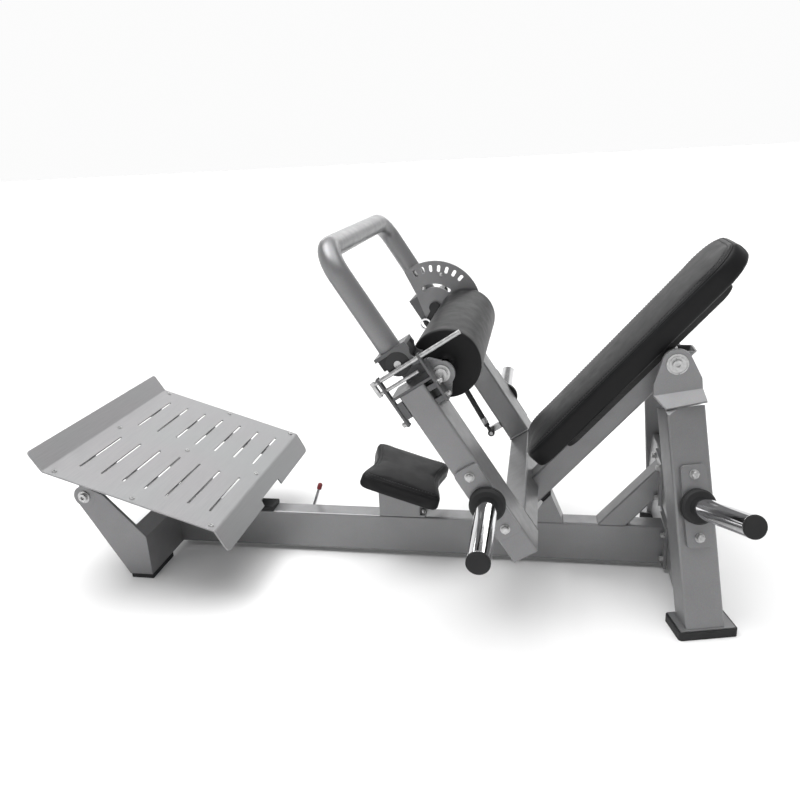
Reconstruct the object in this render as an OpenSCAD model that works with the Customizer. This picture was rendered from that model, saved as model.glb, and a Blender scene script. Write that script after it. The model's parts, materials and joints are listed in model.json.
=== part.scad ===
// Plate-loaded hip thrust machine.
// A swing frame (two arms, a lower cross tube and a backrest) turns on a shaft between two splayed
// rear legs.  It carries a hip roller, a folding U handle and two horns for weight plates.
// +X runs from the foot plate to the backrest, +Z is up, -Y is the near side.
// The origin is on the floor, under the middle of the whole machine.

/* [Main beam] */
// Width of the main beam
beam_w = 56; // [50:1:60]
// Height of the main beam
beam_h = 110; // [100:1:112]
// Wall thickness of the beam, legs and bridges
beam_wall = 4; // [3:0.5:5]
// Front end of the main beam
beam_front = -638; // [-640:1:-630]
// Rear end of the main beam
beam_rear = 716; // [712:1:718]
// Clearance under the main beam
beam_z = 14; // [12:1:16]

/* [Swing arms] */
// Length of each arm
arm_len = 455; // [450:1:460]
// Depth of an arm in the plane that it swings in
arm_t = 63; // [60:1:64]
// Width of an arm along the swing axis
arm_w = 98; // [90:1:98]
// Distance from the middle of the machine to the middle of each arm
arm_y = 303; // [303:1:305]
// Angle of the arms below horizontal at rest
arm_angle = 58.15; // [58:0.05:58.3]
// Wall thickness of the arms and backrest tube
arm_wall = 3; // [2.5:0.5:4]

/* [Backrest] */
// Angle of the backrest above horizontal at rest
back_angle = 48.4; // [48.2:0.1:48.6]
// Length of the back pad
pad_len = 684; // [660:1:690]
// Width of the back pad
pad_w = 240; // [220:1:244]
// Thickness of the back pad
pad_t = 62; // [50:1:64]
// Side of the square backrest tube
back_tube_w = 60; // [56:1:60]

/* [Rear pivot] */
// Place of the swing axis along the machine
pivot_x = 698.5; // [697:0.5:700]
// Height of the swing axis
pivot_z = 597.4; // [596:0.2:599]
// Radius of the swing shaft
shaft_r = 12.5; // [12:0.5:12.5]
// Outer radius of the pivot bearings
bearing_r = 24; // [22:0.5:25]

/* [Foot plate] */
// Width of the foot plate across the machine
plate_w = 648; // [640:1:650]
// Slope of the foot plate
plate_angle = 18.3; // [18:0.1:19]
// Thickness of the foot plate sheet
plate_t = 4; // [3:0.5:5]
// Distance between screws along the slope
screw_step = 211.5; // [208:0.5:213]
// Distance from the middle screw row to the side rows
screw_side = 308; // [300:1:310]
// Number of grip slots in each row
slot_count = 7; // [5:1:7]
// Distance between grip slots
slot_step = 60; // [55:1:60]

/* [Hip roller and handle] */
// Outer radius of the hip roller
roller_r = 80; // [72:1:80]
// Near and far ends of the hip roller
roller_y = [-249, 236];
// Radius of the handle tube
handle_r = 25; // [20:0.5:25]
// Height of the handle above its pivot
handle_reach = 283; // [270:1:290]
// Outer radius of the index sector
sector_r = 131; // [128:1:134]
// Number of index slots in the sector
index_count = 7; // [5:1:8]

/* [Weight horns] */
// Radius of each chrome horn
horn_r = 24.2; // [23:0.1:24.8]
// Length of each horn past its collar
horn_len = 232; // [180:1:240]
// Radius of the rubber collar
collar_r = 40; // [36:1:42]

/* [Hidden] */
$fn = 48;
eps = 0.01;
gap = 0.4;                                  // running gap between separate moving faces
beam_top = beam_z + beam_h;
arm_top = [103.8, 0, 578.6];                // upper end of the arm's lower edge
arm_in = arm_y - arm_w / 2;                 // inner face of an arm
arm_out = arm_y + arm_w / 2;                // outer face of an arm
cross_h = 60;                               // cross tube's depth along the arms
hub_u = -62;                                // handle pivot, measured along the arm
hub_n = 35;                                 // handle pivot, measured across the arm
roller_u = 7;                               // roller axle, along the arm
roller_n = 99;                              // roller axle, across the arm
strip_t = 5.5;                                // thickness of a yoke strip
yoke_n = [-21, 84];                         // undersides of the lower and upper yoke strips
axle_r = 8;                                // radius of the roller axle
hub_pin_r = 8;                              // radius of the handle pivot pins
run = 0.05;                                 // radial running clearance
leg_foot = [728.6, -317.6, 22];             // near leg's outer lower corner
leg_turn = 14.3;                            // leg's turn about the vertical
leg_splay = 17.4;                           // leg's lean towards the middle
leg_rake = 1.6;                             // leg's lean towards the front
leg_w = 90;
leg_d = 60;
leg_top = 506;                              // leg's length to the edge of its cap
back_under = -175.5;                        // underside of the backrest tube, across the backrest
back_tube_top = back_under + back_tube_w;
board_t = 21;
pad_m0 = 500;                               // lower end of the back pad, along the backrest
pivot_m = pivot_x * cos(back_angle) + pivot_z * sin(back_angle);
pivot_n = pivot_z * cos(back_angle) - pivot_x * sin(back_angle);
lug_y = 150;                                // outer face of the pivot lugs
lug_t = 10;
plate_o = [-797, 0, 359.3];                 // middle screw of the foot plate's front column
plate_left = -23;                           // bend of the heel lip, along the slope
plate_right = 2 * screw_step + 17;          // bend of the rear flange
front_pivot = [-798.7, 0, 242.4];           // foot plate pivot
front_y = 213;                              // outer face of the front side plates
front_x = -638;                             // rear face of the front support
gas_eye = [339, 232, -30];                  // gas spring's lower eye, in the arm's own axes
crank_r = 50;                               // gas spring crank on the handle hub
handle_swing = 60;                          // how far the handle turns
gas_pin = [hub_u + crank_r * sin(handle_swing / 2), 232, hub_n - crank_r * cos(handle_swing / 2)];
gas_dx = gas_pin[0] - gas_eye[0];
gas_dz = gas_pin[2] - gas_eye[2];
gas_len = sqrt(gas_dx * gas_dx + gas_dz * gas_dz);
gas_turn = atan2(gas_dz, -gas_dx);          // lean of the gas spring against the arm
silver = [0.62, 0.62, 0.63];
black = [0.10, 0.10, 0.11];
vinyl = [0.16, 0.16, 0.17];
chrome = [0.80, 0.80, 0.82];
zinc = [0.72, 0.72, 0.70];

// ---- places -------------------------------------------------------------------------------

// Arm axes: X runs down the arm, Z across it towards the backrest
module on_arm() translate(arm_top) rotate([0, arm_angle, 0]) children();
// Backrest axes: X runs up the backrest, Z out of the pad
module on_back() rotate([0, -back_angle, 0]) children();
// Foot plate axes: X runs down the slope, Z out of the plate
module on_plate() translate(plate_o) rotate([0, plate_angle, 0]) children();
// Near leg axes: X along the broad face, Y into the leg, Z up the leg
module on_leg()
    translate(leg_foot) rotate([0, 0, leg_turn]) rotate([-leg_splay, 0, 0]) rotate([0, -leg_rake, 0])
        children();
// Gas spring axes: X runs up the spring from its lower eye
module on_gas() on_arm() translate(gas_eye) rotate([0, gas_turn, 0]) mirror([1, 0, 0]) children();
// The same shape on the near side and the far side
module both_sides() {
    children();
    mirror([0, 1, 0]) children();
}

// ---- shared shapes ------------------------------------------------------------------------

// Flat rectangle with round corners, centred
module round_rect(w, h, r) {
    square([w - 2 * r, h], center = true);
    square([w, h - 2 * r], center = true);
    for (x = [-1, 1], y = [-1, 1])
        translate([x * (w / 2 - r), y * (h / 2 - r)]) circle(r);
}
// Solid bar along +X with round long edges; w is its Y size, h its Z size, corner at the origin
module bar(l, w, h, r = 6)
    translate([0, w / 2, h / 2]) rotate([90, 0, 90]) linear_extrude(l) round_rect(w, h, r);
// Hollow rectangular tube along +X, closed at both ends
module box_tube(l, w, h, wall, r = 6)
    difference() {
        bar(l, w, h, r);
        translate([wall, wall, wall]) bar(l - 2 * wall, w - 2 * wall, h - 2 * wall, r / 2);
    }
// Cylinder along +Y from y0 to y1
module rod_y(r, y0, y1, x = 0, z = 0)
    translate([x, y0, z]) rotate([-90, 0, 0]) cylinder(r = r, h = y1 - y0);
// Hexagon head bolt with a washer, standing along +Z
module hex_bolt(head = 9, washer = 12) {
    cylinder(r = washer, h = 2);
    translate([0, 0, 2 - eps]) cylinder(r = head, h = 7, $fn = 6);
    translate([0, 0, 9 - eps]) cylinder(r1 = head * 0.8, r2 = head * 0.6, h = 1);
}
// Socket head of a pivot bolt, standing along +Z
module socket_head(r = 11)
    difference() {
        cylinder(r = r, h = 7);
        translate([0, 0, 3]) cylinder(r = r * 0.5, h = 6, $fn = 6);
    }
// Plate with round corners that carries a horn, standing along +Z
module horn_plate(l = 188, w = 60, t = 8)
    linear_extrude(t) difference() {
        round_rect(w, l, 12);
        for (s = [-1, 1]) translate([0, s * 72]) circle(5.5);
    }
// Horn tube, standing along +Z on its plate; its root is thinner under the collar
module horn()
    translate([0, 0, 8]) difference() {
        union() {
            cylinder(r = horn_r - 1, h = 18, $fn = 64);
            translate([0, 0, 18]) cylinder(r = horn_r, h = horn_len - 6, $fn = 64);
        }
        translate([0, 0, 6]) cylinder(r = horn_r - 4, h = horn_len + 12);
    }
// Rubber collar at the root of a horn, with a groove round its rim
module horn_collar()
    translate([0, 0, 8]) rotate_extrude($fn = 64) difference() {
        translate([horn_r - 1, 0]) square([collar_r - horn_r + 1, 18]);
        translate([collar_r, 9]) circle(2.5, $fn = 24);
        translate([collar_r, 18]) rotate(45) square(6, center = true);
    }
// Rubber cap on the free end of a horn, with a spigot inside the tube
module horn_cap()
    translate([0, 0, 8 + horn_len + 12]) rotate_extrude($fn = 64) {
        translate([0, -16]) square([horn_r - 4, 16 + eps]);
        square([horn_r - 0.2, 5]);
        square([horn_r - 1.5, 7]);
    }
// Bolts of a horn plate
module horn_bolts() for (s = [-1, 1]) translate([0, s * 72, 8]) hex_bolt(9, 11);

// ---- base frame ---------------------------------------------------------------------------

module beam_end_flange()
    translate([beam_rear, -50, beam_z]) cube([8, 100, beam_h + 6]);
module lock_boss() rod_y(11, 0, 16, -254, 96);
module main_beam() color(silver) {
    translate([beam_front, -beam_w / 2, beam_z]) box_tube(beam_rear - beam_front, beam_w, beam_h, beam_wall, 6);
    beam_end_flange();
    translate([0, beam_w / 2, 0]) difference() {
        lock_boss();
        rod_y(4.3, -1, 17, -254, 96);
    }
}
// Side plate of the front support; its round top holds the foot plate's pivot bolt
module front_plate_outline()
    difference() {
        union() {
            translate([front_pivot[0], front_pivot[2]]) circle(30);
            polygon([[front_pivot[0] - 29, 238], [front_pivot[0] + 6, front_pivot[2] + 29],
                [-744, 249], [front_x, 129], [front_x, beam_z], [-704, beam_z]]);
        }
        translate([front_pivot[0], front_pivot[2]]) circle(10 + run);
    }
module front_plate()
    translate([0, -front_y + 9, 0]) rotate([90, 0, 0]) linear_extrude(9) front_plate_outline();
module front_plate_near() color(silver) front_plate();
module front_plate_far() color(silver) mirror([0, 1, 0]) front_plate();
// Folded plate that joins the two side plates and carries the front end of the beam
module front_cross_plate() color(silver)
    difference() {
        translate([0, front_y - 9, 0]) rotate([90, 0, 0]) linear_extrude(2 * (front_y - 9))
            polygon([[front_x - 8, beam_z], [front_x, beam_z], [front_x, 129], [-666, 161],
                [-672, 156], [front_x - 8, 126]]);
        translate([beam_front, -beam_w / 2, beam_z - 1]) cube([20, beam_w, beam_h + 1]);
    }
module front_feet() color(black)
    both_sides() translate([-702, -front_y + 3, 0]) cube([63, 118, beam_z]);
module foot_pivot_bolt() {
    rod_y(10, -front_y - 1, -165, front_pivot[0], front_pivot[2]);
    translate([front_pivot[0], -front_y, front_pivot[2]]) rotate([90, 0, 0]) {
        difference() {
            cylinder(r = 17, h = 3);
            cylinder(r = 10, h = 1);
        }
        translate([0, 0, 3 - eps]) socket_head(11);
    }
}
module foot_pivot_bolts() color(zinc) both_sides() foot_pivot_bolt();

// ---- foot plate ---------------------------------------------------------------------------

lip_len = 57;                               // heel lip, past its bend
lip_turn = 40.5;
flange_len = 60;                            // rear flange, past its bend
flange_turn = 44.6;
bend_r1 = 8;                                // inner radius of both bends
lip_s = plate_left + bend_r1 * tan(lip_turn / 2);              // where the flat ends
flange_s = plate_right - (bend_r1 + plate_t) * tan(flange_turn / 2);
// Points of an arc about a centre
function arc(c, r, a0, a1) = [for (i = [0 : 4]) c + r * [cos(a0 + (a1 - a0) * i / 4), sin(a0 + (a1 - a0) * i / 4)]];
module plate_profile() {
    cl = [lip_s, bend_r1];
    cf = [flange_s, -plate_t - bend_r1];
    dl = lip_len * [-cos(lip_turn), sin(lip_turn)];
    df = flange_len * [cos(flange_turn), -sin(flange_turn)];
    lip_in = arc(cl, bend_r1, -90 - lip_turn, -90);
    lip_out = arc(cl, bend_r1 + plate_t, -90, -90 - lip_turn);
    flange_out = arc(cf, bend_r1 + plate_t, 90, 90 - flange_turn);
    flange_in = arc(cf, bend_r1, 90 - flange_turn, 90);
    polygon(concat([lip_in[0] + dl], lip_in, flange_out, [flange_out[4] + df, flange_in[0] + df],
        flange_in, lip_out, [lip_out[4] + dl]));
}
// Cutter that rounds a free corner of a tab; the corner is at the origin
module corner_cut(r)
    linear_extrude(plate_t + 2)
        polygon([[1, -r - 2], [-0.1 * r, -0.6 * r], [-0.29 * r, -0.29 * r], [-0.6 * r, -0.1 * r], [-r - 2, 1], [1, 1]]);
module tab_corners()
    for (s = [-1, 1]) scale([1, s, 1]) {
        translate([lip_s, 0, bend_r1]) rotate([0, lip_turn, 0])
            translate([-lip_len, plate_w / 2, -bend_r1 - plate_t - 1]) mirror([1, 0, 0]) corner_cut(10);
        translate([flange_s, 0, -plate_t - bend_r1]) rotate([0, flange_turn, 0])
            translate([flange_len, plate_w / 2, bend_r1 - 1]) corner_cut(16);
    }
module grip_slots()
    for (i = [0 : slot_count - 1], s = [-1, 1])
        translate([33.5 + i * slot_step, s * 149, -plate_t - 1]) {
            translate([-3, -98, 0]) cube([6, 196, plate_t + 2]);
            for (e = [-1, 1]) translate([0, e * 98, 0]) cylinder(r = 3, h = plate_t + 2, $fn = 24);
        }
// Cut-out of the rear flange that clears the beam
module flange_notch()
    translate([-420, 0, 0]) rotate([90, 0, 90]) linear_extrude(120)
        polygon([[-84, 100], [-70, 180], [70, 180], [84, 100]]);
module foot_plate() color([0.72, 0.72, 0.73])
    difference() {
        on_plate() difference() {
            translate([0, plate_w / 2, 0]) rotate([90, 0, 0]) linear_extrude(plate_w) plate_profile();
            tab_corners();
            grip_slots();
            for (i = [0 : 2], j = [-1, 0, 1])
                translate([i * screw_step, j * screw_side, -10]) cylinder(r = 4, h = 20, $fn = 24);
        }
        flange_notch();
    }
module foot_plate_screws() color(zinc)
    on_plate() for (i = [0 : 2], j = [-1, 0, 1])
        translate([i * screw_step, j * screw_side, 0]) {
            translate([0, 0, -12]) cylinder(r = 3.9, h = 12, $fn = 24);
            difference() {
                cylinder(r1 = 7, r2 = 5.5, h = 3, $fn = 24);
                translate([0, 0, 1.4]) cylinder(r = 2.6, h = 3, $fn = 6);
            }
        }
// Rails under the plate with the pivot ears, and the prop that rests on the beam's pad
module plate_rail(y) translate([-8, y, -plate_t - 25]) bar(424, 30, 25, 4);
module pivot_ear()
    translate([0, -front_y + 22, 0]) rotate([90, 0, 0]) linear_extrude(10) difference() {
        union() {
            translate([front_pivot[0], front_pivot[2]]) circle(24);
            polygon([[front_pivot[0] - 22, front_pivot[2] + 4], [front_pivot[0] - 4, 338],
                [front_pivot[0] + 84, 312], [front_pivot[0] + 22, front_pivot[2] - 4]]);
        }
        translate([front_pivot[0], front_pivot[2]]) circle(10 + run);
    }
module prop()
    translate([0, 14, 0]) rotate([90, 0, 0]) linear_extrude(28)
        polygon([[-409, beam_top + 13 + gap], [-389, beam_top + 13 + gap], [-402, 214], [-432, 224]]);
module foot_plate_frame() color(silver) {
    both_sides() on_plate() plate_rail(-front_y + 14);
    both_sides() pivot_ear();
    difference() {
        prop();
        on_plate() translate([-100, -100, -plate_t]) cube([700, 200, 100]);
    }
}

// ---- foot plate lock ----------------------------------------------------------------------

module lock_rod() color(chrome) {
    rod_y(4.2, beam_w / 2 + 1, beam_w / 2 + 30, -254, 96);
    translate([-254, beam_w / 2 + 30, 96]) {
        sphere(7);
        rotate([0, 20, 0]) cylinder(r = 4.5, h = 66);
    }
}
module lock_tip() color([0.35, 0.06, 0.07])
    translate([-254, beam_w / 2 + 30, 96]) rotate([0, 20, 0]) translate([0, 0, 66]) {
        cylinder(r = 7, h = 12);
        translate([0, 0, 12]) sphere(7);
    }

// ---- seat ---------------------------------------------------------------------------------

seat_c = [45, 0, 250];                      // middle of the seat pad's top edge plane
seat_tilt = 18;
module on_seat() translate(seat_c) rotate([0, seat_tilt, 0]) children();
module seat_post() color(silver)
    difference() {
        union() {
            translate([-34, -beam_w / 2, beam_top]) cube([112, beam_w, 100]);
            translate([78 - eps, -beam_w / 2, beam_top]) cube([14, beam_w, 6]);
        }
        on_seat() translate([-200, -100, -46]) cube([400, 200, 200]);
    }
// Seat pad, narrower at the middle of each end
module seat_outline()
    difference() {
        round_rect(226, 238, 28);
        for (s = [-1, 1]) translate([s * 296, 0]) circle(200, $fn = 96);
    }
module seat_pad() color(vinyl) on_seat() {
    translate([0, 0, -46 + gap]) linear_extrude(12) square([150, 150], center = true);
    translate([0, 0, -34 + gap]) linear_extrude(46) seat_outline();
}

// ---- swing stop ---------------------------------------------------------------------------

// A point given along and across the backrest, as level X and Z
function back_xz(m, n) = [m * cos(back_angle) - n * sin(back_angle),
    m * sin(back_angle) + n * cos(back_angle)];
module rest_bracket() color(silver)
    translate([0, 27, 0]) rotate([90, 0, 0]) linear_extrude(54)
        polygon([[374, beam_top], [462, beam_top], back_xz(438, back_under - 9), back_xz(406, back_under - 9)]);
// Rubber pads that the foot plate's prop and the swing frame rest on
module stop_pads() color(black) {
    translate([-411, -beam_w / 2, beam_top]) bar(66, beam_w, 13, 4);
    on_back() translate([408, -24, back_under - 9]) cube([28, 48, 9 - gap]);
}

// ---- rear support -------------------------------------------------------------------------

brace_angle = 49.4;
module brace() color(silver) {
    intersection() {
        translate([556, -beam_w / 2, beam_top + 7.4]) rotate([0, -brace_angle, 0])
            translate([-60, 0, -55]) box_tube(340, beam_w, 55, beam_wall, 5);
        translate([400, -50, beam_top]) cube([294, 100, 300]);
    }
    difference() {
        translate([694 - eps, -50, 196]) cube([8, 100, 116]);
        for (y = [-40.5, 40.5], z = [214, 296]) translate([690, y, z]) rotate([0, 90, 0]) cylinder(r = 5.5, h = 20);
    }
}
// Everything outside a leg's inner face
module leg_cut() on_leg() translate([-300, -400, -60]) cube([700, 400 + leg_d, 700]);
// Tube of a leg, closed at both ends
module leg_shape() on_leg() translate([leg_w / 2, leg_d / 2, -60]) difference() {
    linear_extrude(640) round_rect(leg_w, leg_d, 6);
    translate([0, 0, 90]) linear_extrude(400) round_rect(leg_w - 2 * beam_wall, leg_d - 2 * beam_wall, 3);
}
module upper_bridge() color(silver)
    difference() {
        translate([702, -240, 200]) rotate([0, 0, 90]) mirror([0, 1, 0]) box_tube(480, 58, 108, beam_wall, 5);
        both_sides() leg_cut();
    }
module lower_bridge() color(silver)
    difference() {
        translate([beam_rear + 8, -300, 24]) rotate([0, 0, 90]) mirror([0, 1, 0])
            box_tube(600, 60, 90, beam_wall, 5);
        both_sides() leg_cut();
    }
// Bend between a pivot lug and the slanted cap on its leg
bend_l = [651, -lug_y, 523];
bend_r = [756, -lug_y, 542];
bend_rise = atan2(bend_r[2] - bend_l[2], bend_r[0] - bend_l[0]);
cap_slope = 46.4;
cap_t = 8;
// Cap axes: X along the bend, -Y down the slope
module on_cap() translate(bend_l) rotate([0, -bend_rise, 0]) rotate([cap_slope, 0, 0]) children();
module leg() difference() {
    leg_shape();
    translate([500, -500, -100]) cube([500, 500, 122]);
    on_cap() translate([-200, -300, -cap_t]) cube([600, 330, 300]);
    on_leg() translate([-50, -50, leg_top - 4]) cube([200, 200, 300]);
}
module leg_near() color(silver) leg();
module leg_far() color(silver) mirror([0, 1, 0]) leg();
module foot_place() translate([leg_foot[0], leg_foot[1], 0]) rotate([0, 0, leg_turn]) children();
module leg_bases() color(silver)
    both_sides() foot_place() translate([-14, -5, 14]) cube([126, 74, 8]);
module rear_feet() color(black)
    both_sides() foot_place() difference() {
        translate([-19, -10, 0]) linear_extrude(19) translate([68, 42]) round_rect(136, 84, 8);
        translate([-14, -5, 14]) cube([126, 74, 8]);
    }
module lug_outline() difference() {
    union() {
        translate([pivot_x, pivot_z]) circle(34);
        polygon([[bend_l[0], bend_l[2]], [bend_r[0], bend_r[2]], [753, 566],
            [pivot_x + 31, pivot_z + 14], [pivot_x - 31, pivot_z + 13], [650, 549]]);
    }
    translate([pivot_x, pivot_z]) circle(bearing_r);
}
module pivot_plate() {
    translate([0, -lug_y + lug_t, 0]) rotate([90, 0, 0]) linear_extrude(lug_t) lug_outline();
    on_cap() translate([0, 0, -cap_t]) linear_extrude(cap_t)
        polygon([[0, 6], [0, 0], [21.5, -37.7], [110, -33], [106.7, 0], [106.7, 6]]);
}
module pivot_plate_near() color(silver) pivot_plate();
module pivot_plate_far() color(silver) mirror([0, 1, 0]) pivot_plate();
module pivot_bearings() color(zinc)
    both_sides() translate([pivot_x, -lug_y - 2, pivot_z]) rotate([-90, 0, 0]) rotate_extrude($fn = 64)
        difference() {
            translate([shaft_r, 0]) square([bearing_r - shaft_r, lug_t + 2]);
            translate([18, -1]) square([3, 2.5]);
        }
module pivot_shaft() color(zinc) {
    rod_y(shaft_r, -lug_y - 2, lug_y + 2, pivot_x, pivot_z);
    both_sides() translate([pivot_x, -lug_y - 2, pivot_z]) rotate([90, 0, 0]) socket_head(11);
}

// ---- storage horns on the legs ------------------------------------------------------------

module on_storage() on_leg() translate([46, 0, 278.5]) rotate([90, 0, 0]) children();
module storage_horn_near() color(chrome) on_storage() horn();
module storage_horn_far() color(chrome) mirror([0, 1, 0]) on_storage() horn();
module leg_horn_plates() color(silver) both_sides() on_storage() horn_plate();
module storage_collars() color(black) both_sides() on_storage() horn_collar();
module storage_caps() color(black) both_sides() on_storage() horn_cap();
module frame_bolts() color(zinc) {
    both_sides() on_storage() horn_bolts();
    for (y = [-40.5, 40.5]) {
        for (z = [214, 296]) translate([694 - 3 * eps, y, z]) rotate([0, -90, 0]) hex_bolt(7, 9);
        for (z = [40, 108]) translate([beam_rear, y, z]) rotate([0, -90, 0]) hex_bolt(7, 8);
    }
    translate([85, 0, beam_top + 6]) for (s = [-1, 1]) translate([0, s * 16, 0]) hex_bolt(5, 6);
}

// ---- swing frame --------------------------------------------------------------------------

module arm_near() color(silver) on_arm() translate([0, -arm_out, 0]) box_tube(arm_len, arm_w, arm_t, arm_wall, 6);
module arm_far() color(silver) on_arm() translate([0, arm_in, 0]) box_tube(arm_len, arm_w, arm_t, arm_wall, 6);
module cross_tube() color(silver)
    on_arm() translate([arm_len, -arm_in, 0]) rotate([0, 0, 90])
        box_tube(2 * arm_in, cross_h, arm_t, arm_wall, 5);
module back_tube() color(silver)
    difference() {
        on_back() difference() {
            translate([400, -back_tube_w / 2, back_under])
                box_tube(600, back_tube_w, back_tube_w, arm_wall, 5);
            translate([952, -50, back_under - 2]) rotate([0, -40, 0]) translate([0, 0, -60]) cube([120, 100, 200]);
            translate([pivot_m, 60, pivot_n]) rotate([90, 0, 0]) cylinder(r = 19, h = 120);
        }
        on_arm() translate([arm_len - cross_h, -100, -20]) cube([cross_h, 200, arm_t + 20]);
    }
module pivot_hub() color(silver)
    translate([pivot_x, 0, pivot_z]) rotate([90, 0, 0]) translate([0, 0, -136]) difference() {
        cylinder(r = 19, h = 272);
        translate([0, 0, -1]) cylinder(r = shaft_r + run, h = 274, $fn = 64);
    }
module pad_board() color([0.12, 0.11, 0.11])
    difference() {
        on_back() translate([pad_m0 + pad_len / 2, 0, back_tube_top])
            linear_extrude(board_t) round_rect(pad_len - 150, 160, 40);
        translate([pivot_x, 140, pivot_z]) rotate([90, 0, 0]) cylinder(r = 19 + gap, h = 280);
    }
module back_pad() color(vinyl)
    on_back() translate([pad_m0 + pad_len / 2, 0, back_tube_top + board_t + gap])
        linear_extrude(pad_t) round_rect(pad_len, pad_w, 66);

strip_w = 15;                               // width of the narrow ends of the strips
hub_y = [-336, -269];                       // near handle hub, along its pin
far_wall = 6;                               // wall of the far yoke beside the sector
// Bar on an arm: u and n ranges, then the distance from the middle of the machine
module block(u, n, y) translate([u[0], y[0], n[0]]) cube([u[1] - u[0], y[1] - y[0], n[1] - n[0]]);
// Cheek plate that holds the end of the handle's pivot pin, joined to the arm's end plate
module yoke_cheek(y0, y1)
    difference() {
        union() {
            rod_y(30, y0, y1, hub_u, hub_n);
            block([hub_u, -5], [hub_n - 30, hub_n + 28], [y0, y1]);
        }
        rod_y(hub_pin_r, y0 - 1, y1 + 1, hub_u, hub_n);
    }
module yoke_near() color([0.42, 0.42, 0.43])
    on_arm() difference() {
        union() {
            block([-61, 64], [yoke_n[0], yoke_n[0] + strip_t], [-353.5, -353.5 + strip_w]);
            block([-61, 58], [yoke_n[1], yoke_n[1] + strip_t], [-353.5, -353.5 + strip_w]);
            block([-38, 58], [yoke_n[1], yoke_n[1] + strip_t], [-353.5, -309]);
            block([-6, 0], [yoke_n[0], yoke_n[1] + 1], [-350, -256]);
            block([10, 50], [yoke_n[0] + 1, 0], [-350, -340]);
            for (u = [10, 42]) block([u, u + 12], [arm_t, yoke_n[1] + 1], [-348, -330]);
            yoke_cheek(-265, -259);
        }
        translate([-53, -346, -60]) cylinder(r = 5.3, h = 200);
        translate([-28, -346, -60]) cylinder(r = 4.3, h = 200);
    }
module yoke_far() color(silver)
    on_arm() {
        block([-115, 0], [yoke_n[0], yoke_n[0] + strip_t], [arm_in + 0.5, arm_out - 2]);
        block([-115, 0], [yoke_n[0], 9], [arm_in + 0.5, arm_in + far_wall]);
        block([-6, 0], [yoke_n[0], arm_t], [arm_in + 0.5, arm_out - 2]);
        yoke_cheek(arm_out - 9, arm_out - 3);
    }
// A point of the sector, by angle about the handle pivot; 0 lies down the arm
function on_hub(r, a) = [hub_u + r * cos(a), hub_n + r * sin(a)];
index_start = 176.7;                        // angle of the first index slot
index_step = 11.8;                          // angle between index slots
index_r = 110;
stop_r = [57, 67];                          // edges of the curved stop slot
stop_turn = [108, 178];                     // angles of its ends
module sector_outline()
    difference() {
        intersection() {
            translate([hub_u, hub_n]) circle(sector_r, $fn = 96);
            polygon([[-200, 17], [-124, 10], [-60, -3], [-20, -8], [6, 0], [34, 66], [34, 200],
                [-260, 200], [-260, 17]]);
        }
        for (i = [0 : index_count - 1]) {
            a = index_start - i * index_step;
            translate(on_hub(index_r, a)) rotate(a) {
                square([10, 9.2], center = true);
                for (s = [-1, 1]) translate([s * 5, 0]) circle(4.8, $fn = 24);
            }
        }
        intersection() {
            difference() {
                translate([hub_u, hub_n]) circle(stop_r[1]);
                translate([hub_u, hub_n]) circle(stop_r[0]);
            }
            polygon([[hub_u, hub_n], on_hub(200, stop_turn[0]), on_hub(300, 143), on_hub(200, stop_turn[1])]);
        }
        for (a = stop_turn) translate(on_hub(62, a)) circle(5.6, $fn = 24);
        translate([hub_u, hub_n]) circle(hub_pin_r);
        translate([roller_u, roller_n]) circle(axle_r);
    }
module sector_plate() color(silver)
    on_arm() translate([0, arm_in, 0]) rotate([90, 0, 0]) linear_extrude(8) sector_outline();
// Ear on the near yoke that holds the near end of the roller axle
module roller_lug() color(silver)
    on_arm() translate([0, -310, 0]) rotate([90, 0, 0]) linear_extrude(8) difference() {
        union() {
            translate([roller_u + 2, roller_n + 1]) circle(27);
            polygon([[-36, 80], [-36, 94], [-16, 114], [roller_u, 110], [36, 108], [54, 94], [54, 80]]);
        }
        translate([roller_u, roller_n]) circle(axle_r);
        translate([-200, -100]) square([400, 100 + yoke_n[1] + strip_t]);
    }
module roller_axle() color(zinc)
    on_arm() {
        rod_y(axle_r, -318, arm_in - 0.5, roller_u, roller_n);
        translate([roller_u, -318, roller_n]) intersection() {
            rotate([90, 0, 0]) difference() {
                union() {
                    cylinder(r = 19, h = 4);
                    translate([0, 0, 4 - eps]) cylinder(r = 13, h = 7);
                }
                translate([0, 0, 7]) cylinder(r = 6, h = 6, $fn = 6);
            }
            translate([-30, -20, yoke_n[1] + strip_t - roller_n]) cube([60, 40, 60]);
        }
    }
module handle_pivot_pin() color(zinc)
    on_arm() {
        rod_y(hub_pin_r, hub_y[0] - 2, -259, hub_u, hub_n);
        translate([hub_u, -259, hub_n]) rotate([-90, 0, 0]) cylinder(r = hub_pin_r + 3, h = 3);
    }

// ---- weight horns on the arms -------------------------------------------------------------

horn_u = 298;                               // horn's place along the arm
module on_weight() on_arm() translate([horn_u, -arm_out, arm_t / 2 + 1]) rotate([90, 0, 0]) rotate([0, 0, 90]) children();
module weight_horn_near() color(chrome) on_weight() horn();
module weight_horn_far() color(chrome) mirror([0, 1, 0]) on_weight() horn();
module arm_horn_plates() color(silver) both_sides() on_weight() horn_plate();
module weight_collars() color(black) both_sides() on_weight() horn_collar();
module weight_caps() color(black) both_sides() on_weight() horn_cap();
module arm_bolts() color(zinc) {
    both_sides() on_weight() horn_bolts();
    on_arm() {
        for (u = [16, 48]) translate([u, -339, yoke_n[1] + strip_t]) hex_bolt(5.5, 7);
        translate([57, -346, yoke_n[0]]) rotate([180, 0, 0]) hex_bolt(5.5, 7);
        for (p = [on_hub(62, 177), on_hub(95, 135.6)])
            translate([p[0], arm_in - 8, p[1]]) rotate([90, 0, 0]) hex_bolt(4.5, 5.5);
    }
}

// ---- gas spring ---------------------------------------------------------------------------

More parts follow.
